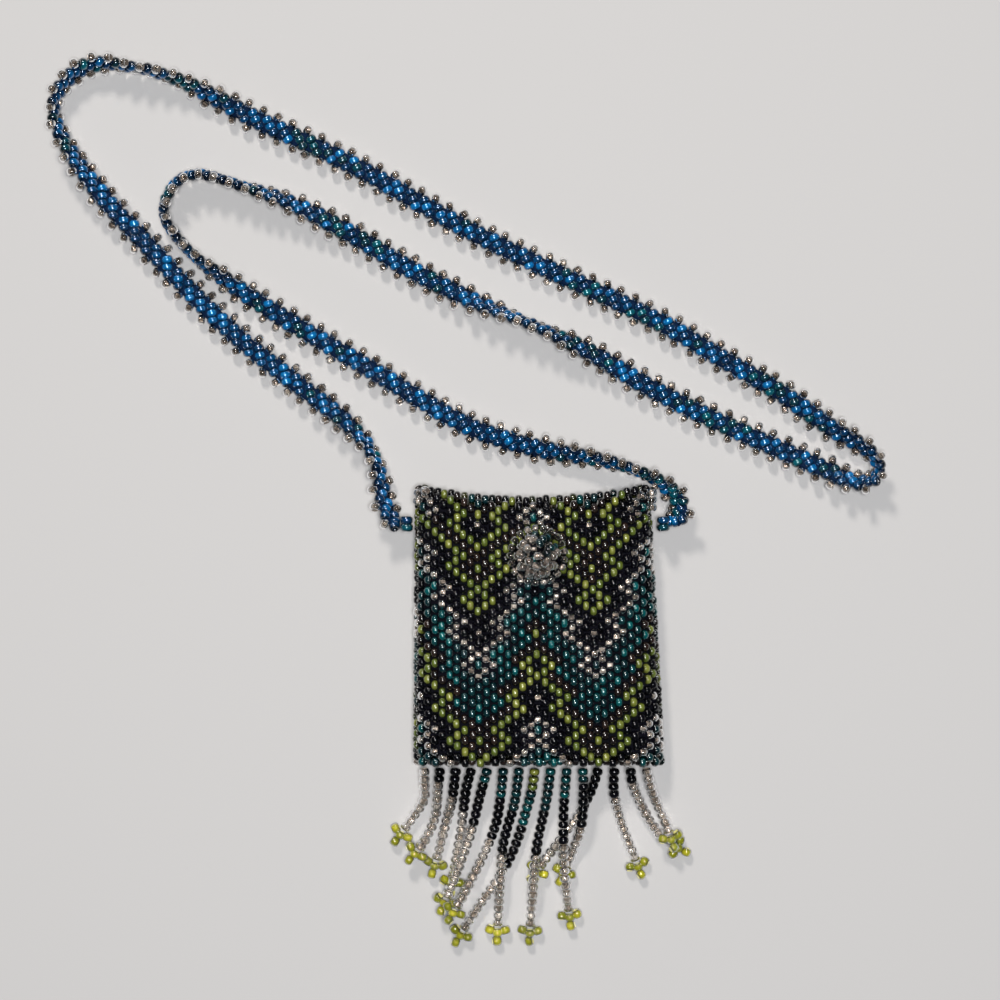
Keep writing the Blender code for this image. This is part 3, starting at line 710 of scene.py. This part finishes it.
def strap_line(count):
    """The strap's middle line at equal steps, with its turn: it rests on its lower edge.
    Over its last 2.6% it untwists to half its turn, where the joins hold it flat."""
    left = half_width(JOIN_Y) + BEAD_WIDTH + STRAP_THICKNESS / 2 + GAP
    route = [list(p) for p in STRAP_ROUTE]
    route[0][0], route[-1][0] = -left / MM, left / MM
    route[0][1] = route[-1][1] = JOIN_Y / MM
    line = eased(smooth_line(np.array(route) * (MM, MM, 1.0), count))
    along = np.linspace(0, 1, count)
    held = np.clip((HELD_SHARE - np.minimum(along, 1 - along)) / HELD_FADE, 0, 1)
    turn = np.radians(line[:, 2]) * (1 - 0.5 * held)
    height = PICOT_OUT * np.abs(np.sin(turn)) + BAND_BEAD_WIDTH / 2 + CLEAR_OF_TABLE
    ends = np.clip(np.maximum(0, 1 - np.minimum(along, 1 - along) / END_RISE), 0, 1) ** 1.5
    height += (MIDDLE - height) * ends
    return np.column_stack([line[:, :2], height]) + BAG, turn


def make_strap(finishes):
    """Slanted columns of three blue beads side by side along the line, a crystal at each end."""
    fine, turn = strap_line(FINE_STEPS)
    step = np.linalg.norm(np.diff(fine, axis=0), axis=1)
    along = np.concatenate([[0], np.cumsum(step)])
    units = int(round((along[-1] - UNIT_PITCH) / UNIT_PITCH))
    at = np.linspace(END_SHARE * UNIT_PITCH, along[-1] - END_SHARE * UNIT_PITCH, units + 1)

    def read(s):
        place = np.stack([np.interp(s, along, fine[:, k]) for k in range(3)], axis=-1)
        angle = np.interp(s, along, turn)
        ahead = np.stack([np.interp(s + HEADING_REACH, along, fine[:, k])
                          - np.interp(s - HEADING_REACH, along, fine[:, k])
                          for k in range(3)], axis=-1)
        ahead = unit(ahead)
        flat = unit(np.cross([0.0, 0.0, 1.0], ahead))
        up = np.cross(ahead, flat)
        across = flat * np.cos(angle)[..., None] + up * np.sin(angle)[..., None]
        return place, ahead, across, np.cross(ahead, across)

    slant = np.array([math.cos(COLUMN_SLANT), -math.sin(COLUMN_SLANT)])
    blue, clear = Beads(), Beads()
    shade = np.convolve(CHANCE.normal(0, 1, len(at) + 8), np.ones(5) / 5, "same")[4:-4]
    for k, reach in enumerate((-1.0, 0.0, 1.0)):
        offset = reach * SLANTED_STEP
        place, ahead, across, off = read(at + offset * slant[0])
        centre = (place + across * (offset * slant[1])
                  + off * CHANCE.normal(0, 0.00006, (len(at), 1)))
        direction = ahead * slant[0] + across * slant[1]
        colour = np.where(shade + CHANCE.normal(0, 0.25, len(at)) > 0.25, DEEP_TEAL, BLUE)
        blue.add(centre, direction, BAND_BEAD_WIDTH, BAND_BEAD_LENGTH, colour, off)
    for side in (-1, 1):
        s = at - side * (PICOT_LAG + UNIT_PITCH / 2) + CHANCE.normal(0, 0.00012, len(at))
        s = s[(s > PICOT_WIDTH / 2) & (s < along[-1] - PICOT_WIDTH / 2)]
        place, ahead, across, off = read(s)
        centre = place + across * side * PICOT_OUT + off * CHANCE.normal(0, 0.00010, (len(s), 1))
        tilt = unit(ahead + across * CHANCE.normal(0, PICOT_TILT, (len(s), 1)))
        clear.add(centre, tilt, PICOT_WIDTH, PICOT_LENGTH, SMOKE)
    band = bead_mesh("strap_beads", blue, finishes, jitter=0.08)
    picots = bead_mesh("strap_picots", clear, finishes, lining=(SMOKE,), inside="dull_lining")
    s = np.linspace(THREAD_INSET, along[-1] - THREAD_INSET, CORE_RINGS)
    place, _, across, off = read(s)
    turnings = 2 * np.pi * np.arange(CORE_SIDES) / CORE_SIDES
    wide, thick = STRAP_CORE
    ring = (place[:, None] + across[:, None] * (wide * np.cos(turnings))[None, :, None]
            + off[:, None] * (thick * np.sin(turnings))[None, :, None])
    core = tube_mesh("strap_thread", ring, finishes["blue_thread"])
    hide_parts("strap")
    for piece, slot in ((band, "blue_beads"), (picots, "crystal_beads"), (core, "blue_beads")):
        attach(piece, "root")
    path, _ = strap_line(PATH_STEPS)


# ---------------------------------------------------------------- fringe, button, joins

def turned(heading, angle):
    c, s = math.cos(angle), math.sin(angle)
    return np.array([c * heading[0] - s * heading[1], s * heading[0] + c * heading[1]])


def strand_lines():
    """The fringe strands as laid, the same way as in the part's source."""
    floor = BEAD_WIDTH / 2
    root_y = BOTTOM - GAP
    laid, lines = np.zeros((0, 4)), {}
    middle = (len(STRAND_ROUTES) + 1) / 2
    for number in LAYING_ORDER:
        root_x = (number - middle) * STRAND_COLUMNS * COLUMN_PITCH_BOTTOM
        route = [(0.0, 0.0), *STRAND_ROUTES[number - 1]]
        plan = np.array([(root_x + x * MM, root_y - y * MM) for x, y in route])
        length = np.linalg.norm(np.diff(smooth_line(plan, 60), axis=0), axis=1).sum()
        stop = TIP_BEAD_WIDTH / 2 + GAP
        beads = max(2, round((length - stop) / STRAND_PITCH))
        steps = 2 * beads + 1
        fine = smooth_line(plan, 400)
        along = np.linspace(0, length, 400)
        at = np.append(np.linspace(0, length - stop, steps), length)
        xy = np.stack([np.interp(at, along, fine[:, k]) for k in (0, 1)], axis=1)
        share = np.clip(at / DRAPE, 0, 1)
        falling = floor + (MIDDLE - floor) * (1 - share * share * (3 - 2 * share))
        heading = xy[-1] - xy[-3]
        heading /= np.linalg.norm(heading)
        tips = np.array([xy[-1] + TIP_REACH * turned(heading, a) for a in TIP_ANGLES])
        need = falling.copy()
        last = len(xy) - 1
        seen = [(xy[k], k, BEAD_WIDTH / 2) for k in range(4, last)]
        seen += [(point, last, TIP_BEAD_WIDTH / 2) for point in (xy[last], *tips)]
        for point, k, radius in seen:
            flat = np.linalg.norm(laid[:, :2] - point, axis=1)
            clear = laid[:, 3] + radius + GAP
            near = flat < clear
            if near.any():
                over = laid[near, 2] + np.sqrt(clear[near] ** 2 - flat[near] ** 2)
                need = np.maximum(need, over.max() - HUMP * (at - at[k]) ** 2)
        lines[number] = (np.column_stack([xy[:-1], need[:-1]]),
                         np.append(xy[-1], need[-1]), heading)
        wide = np.full(len(xy), BEAD_WIDTH / 2)
        wide[-1] = TIP_BEAD_WIDTH / 2
        laid = np.vstack([laid, np.column_stack([xy, need, wide]),
                          *[(*t, need[-1], TIP_BEAD_WIDTH / 2) for t in tips]])
    return lines


def make_fringe(finishes):
    count = len(STRAND_ROUTES)
    for number, (line, tip, heading) in sorted(strand_lines().items()):
        middles, ends = line[1::2], line[0::2]
        direction = unit(np.diff(ends, axis=0))
        edge = min(number, count + 1 - number)
        order = np.arange(len(middles))
        black = 2 * (edge - 1)
        teal = 2 * (edge - 4)
        colour = np.where(order < black, BLACK, CRYSTAL)
        colour[order < teal] = TEAL
        if number == (count + 1) // 2:
            colour[order < 8] = TEAL
            colour[order < 3] = OLIVE
            colour[(order >= 8) & (order < 14)] = BLACK
        beads = Beads()
        lift = np.array([0.0, 0.0, PLUMP])
        beads.add(middles + BAG + lift, direction, BEAD_WIDTH + PLUMP, BEAD_LENGTH, colour)
        piece = bead_mesh(f"fringe_strand_{number:02d}_beads", beads, finishes,
                          lining=(CRYSTAL,), inside="bright_lining", jitter=0.04)
        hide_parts(f"fringe_strand_{number:02d}")
        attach(piece, "root")
        beads = Beads()
        spokes = [np.array([*turned(heading, a), 0.0]) for a in TIP_ANGLES]
        for spoke in spokes:
            around = np.cross([0.0, 0.0, 1.0], spoke)
            beads.add(tip + BAG + lift + spoke * (TIP_REACH - PLUMP), around,
                      TIP_BEAD_WIDTH + TIP_PLUMP, TIP_SPOKE_LENGTH, GOLD)
        beads.add(tip + BAG + lift, (*heading, 0), TIP_BEAD_WIDTH + TIP_PLUMP,
                  TIP_MIDDLE_LENGTH, GOLD)
        piece = bead_mesh(f"fringe_tip_{number:02d}_beads", beads, finishes, lining=(GOLD,),
                          inside="lemon_lining", jitter=0.15)
        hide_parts(f"fringe_tip_{number:02d}")
        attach(piece, "root")


def make_button(finishes):
    """A ball sewn up of beads: rings of them one above the other, and the loop round its foot."""
    centre = np.array([BUTTON_X, TOP - BUTTON_BELOW_MOUTH, 0.0]) + BAG
    foot = FRONT_TOP + GAP
    beads = Beads()
    for n, (radius, height, count) in enumerate(BUTTON_RINGS):
        angle = 2 * np.pi * (np.arange(count) + 0.5 * n) / count + 0.3 * n
        spoke = np.column_stack([np.cos(angle), np.sin(angle), 0 * angle])
        around = np.column_stack([-np.sin(angle), np.cos(angle), 0 * angle])
        place = centre + spoke * radius * MM + np.array([0, 0, foot + height * MM])
        colour = np.full(count, SMOKE)
        colour[CHANCE.uniform(0, 1, count) < 0.3] = CRYSTAL
        from_patch = np.abs((angle - TEAL_PATCH + np.pi) % (2 * np.pi) - np.pi)
        colour[(from_patch < TEAL_REACH) & (n > 0)] = TEAL
        place += CHANCE.normal(0, 0.00022, place.shape)
        out = unit(place - centre - (0, 0, foot + BUTTON_MIDDLE * MM))
        around = unit(around + CHANCE.normal(0, 0.35, around.shape))
        beads.add(place, around, *BUTTON_BEAD, colour, out)
    beads.add(centre + (0, 0, foot + BUTTON_TOP * MM), (1, 0.2, 0), *BUTTON_TOP_BEAD, SMOKE)
    piece = bead_mesh("button_beads", beads, finishes, lining=(CRYSTAL, SMOKE), jitter=0.12)
    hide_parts("button")
    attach(piece, "root")
    beads = Beads()
    low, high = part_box("closing_loop")
    radius = (high.x - low.x) / 2 - LOOP_BEAD_WIDTH / 2
    count = max(8, round(2 * math.pi * radius / LOOP_BEAD_WIDTH))
    angle = 2 * np.pi * (np.arange(count) + 0.5) / count
    spoke = np.column_stack([np.cos(angle), np.sin(angle), 0 * angle])
    around = np.column_stack([-np.sin(angle), np.cos(angle), 0 * angle])
    place = centre + spoke * radius + np.array([0, 0, foot + LOOP_BEAD_WIDTH / 2])
    colour = np.where(CHANCE.uniform(0, 1, count) < 0.6, SMOKE, CRYSTAL)
    beads.add(place, around, LOOP_BEAD_WIDTH, LOOP_BEAD_LENGTH, colour, spoke + (0, 0, 1.0))
    piece = bead_mesh("closing_loop_beads", beads, finishes, lining=(CRYSTAL,))
    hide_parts("closing_loop")
    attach(piece, "root")


def make_joins(finishes):
    """The short strings of beads at the mouth's corners and at the strap's ends. A corner bead
    lies on the front's rounded edge, 0.85 of a bead's width above the pouch's section
    |x / a|^8 + |z / b|^2 = 1."""
    edge = half_width(TOP)
    tufts = {
        "corner_beads_left": [(-edge + 0.0008, TOP - 0.0034), (-edge + 0.0009, TOP - 0.0010),
                              (-edge + 0.0030, TOP - 0.0006)],
        "corner_beads_right": [(edge - 0.0009, TOP - 0.0048), (edge - 0.0009, TOP - 0.0002)],
    }
    for node, route in tufts.items():
        line = smooth_line(route, 2 * JOIN_BEADS + 1)
        share = np.clip((TOP - line[:, 1]) / HEIGHT, 0, 1)
        out = np.clip(np.abs(line[:, 0]) / ((23.45 + 1.65 * share) * MM), 0, 0.995)
        lie = MIDDLE + thickness(share) / 2 * np.sqrt(1 - out ** 8) + CORNER_SEAT * BEAD_WIDTH
        line = np.column_stack([line, lie]) + BAG
        beads = Beads()
        beads.add(line[1::2], np.diff(line[0::2], axis=0), BEAD_WIDTH, BEAD_LENGTH,
                  np.array([CRYSTAL, SMOKE, CRYSTAL]))
        piece = bead_mesh(f"{node}_string", beads, finishes, lining=(CRYSTAL,))
        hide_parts(node)
        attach(piece, "root")
    join_x = half_width(JOIN_Y) + GAP + BEAD_WIDTH / 2 + PLUMP / 2
    join_half = min(JOIN_BEADS * STRAND_PITCH, HOLLOW - 2 * GAP) / 2
    for node, side in (("strap_join_left", -1), ("strap_join_right", 1)):
        heights = np.linspace(MIDDLE - join_half, MIDDLE + join_half, 2 * JOIN_BEADS + 1)[1::2]
        beads = Beads()
        for step, colour in ((-1, DEEP_TEAL), (1, BLUE)):
            place = np.column_stack([np.full(JOIN_BEADS, side * join_x),
                                     np.full(JOIN_BEADS, JOIN_Y + step * BEAD_LENGTH / 2),
                                     heights]) + BAG
            beads.add(place, (0, 1, 0), BEAD_WIDTH + JOIN_PLUMP, BAND_BEAD_LENGTH, colour)
        piece = bead_mesh(f"{node}_beads", beads, finishes)
        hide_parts(node)
        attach(piece, "root")


# ---------------------------------------------------------------- all of it

def make_finishes():
    group = bead_shade_group()
    return {
        OLIVE: bead_finish("olive_lustre", group, (0.120, 0.165, 0.020), (0.29, 0.31, 0.05), 0.10,
                           painted_shade_depth=0.9, coat=1.0),
        BLACK: bead_finish("black_glass", group, (0.0004, 0.0004, 0.0012),
                           (0.002, 0.0015, 0.004), 0.05, painted_shade_depth=0.5, coat=0.9, bending=1.1,
                           gloss=1.55),
        BROWN: bead_finish("brown_iris", group, (0.009, 0.004, 0.003), (0.036, 0.018, 0.012),
                           0.05, painted_shade_depth=0.9, coat=1.0, bending=1.2, gloss=1.9),
        TEAL: bead_finish("teal_glass", group, (0.0, 0.030, 0.038), (0.0, 0.15, 0.155), 0.08,
                          painted_shade_depth=0.95, metal=0.25, coat=1.0),
        CRYSTAL: bead_finish("clear_glass", group, (0.88, 0.84, 0.80), (0.94, 0.91, 0.88), 0.0,
                             painted_shade_depth=0.1, spread=0.05, glass=1.0),
        GOLD: bead_finish("gold_glass", group, (0.40, 0.42, 0.010), (0.95, 0.88, 0.04), 0.05,
                          painted_shade_depth=0.9, spread=0.2, glass=0.35, coat=0.6),
        BLUE: bead_finish("blue_glass", group, (0.0, 0.055, 0.17), (0.0, 0.29, 0.78), 0.08,
                          painted_shade_depth=0.9, metal=0.35, coat=1.0),
        DEEP_TEAL: bead_finish("deep_teal_glass", group, (0.0, 0.055, 0.09), (0.0, 0.20, 0.27),
                               0.08, painted_shade_depth=0.9, metal=0.35, coat=1.0),
        SMOKE: bead_finish("smoky_glass", group, (0.56, 0.51, 0.47), (0.76, 0.72, 0.68), 0.0,
                           painted_shade_depth=0.25, spread=0.05, glass=1.0),
        "lining": bead_finish("silver_lining", group, (0.42, 0.355, 0.305), (0.74, 0.67, 0.60),
                              0.22, painted_shade_depth=0.0, metal=0.55),
        "dull_lining": bead_finish("dull_lining", group, (0.30, 0.25, 0.21), (0.54, 0.48, 0.42),
                                   0.22, painted_shade_depth=0.0, metal=0.55),
        "bright_lining": bead_finish("bright_lining", group, (0.62, 0.52, 0.43),
                                     (0.94, 0.87, 0.79), 0.2, painted_shade_depth=0.0, metal=0.6),
        "lemon_lining": bead_finish("lemon_lining", group, (0.80, 0.76, 0.30),
                                    (0.95, 0.92, 0.55), 0.3, painted_shade_depth=0.0, metal=0.3),
        "thread": bead_finish("dark_thread", group, (0.002, 0.002, 0.005), (0.006, 0.006, 0.01),
                              0.8, painted_shade_depth=0.0, spread=0.8, shine=0.08),
        "blue_thread": bead_finish("blue_thread", group, (0.0, 0.010, 0.04),
                                   (0.0, 0.018, 0.07), 0.7, painted_shade_depth=0.0, spread=0.8, shine=0.1),
    }


def main():
    bpy.context.scene.view_settings.view_transform = "Standard"
    make_camera()
    finishes = make_finishes()
    make_strap(finishes)
    make_pouch(finishes)
    make_bottom_seam(finishes)
    make_web(finishes["thread"])
    make_fringe(finishes)
    make_button(finishes)
    make_joins(finishes)
    make_light()
    make_table()


main()
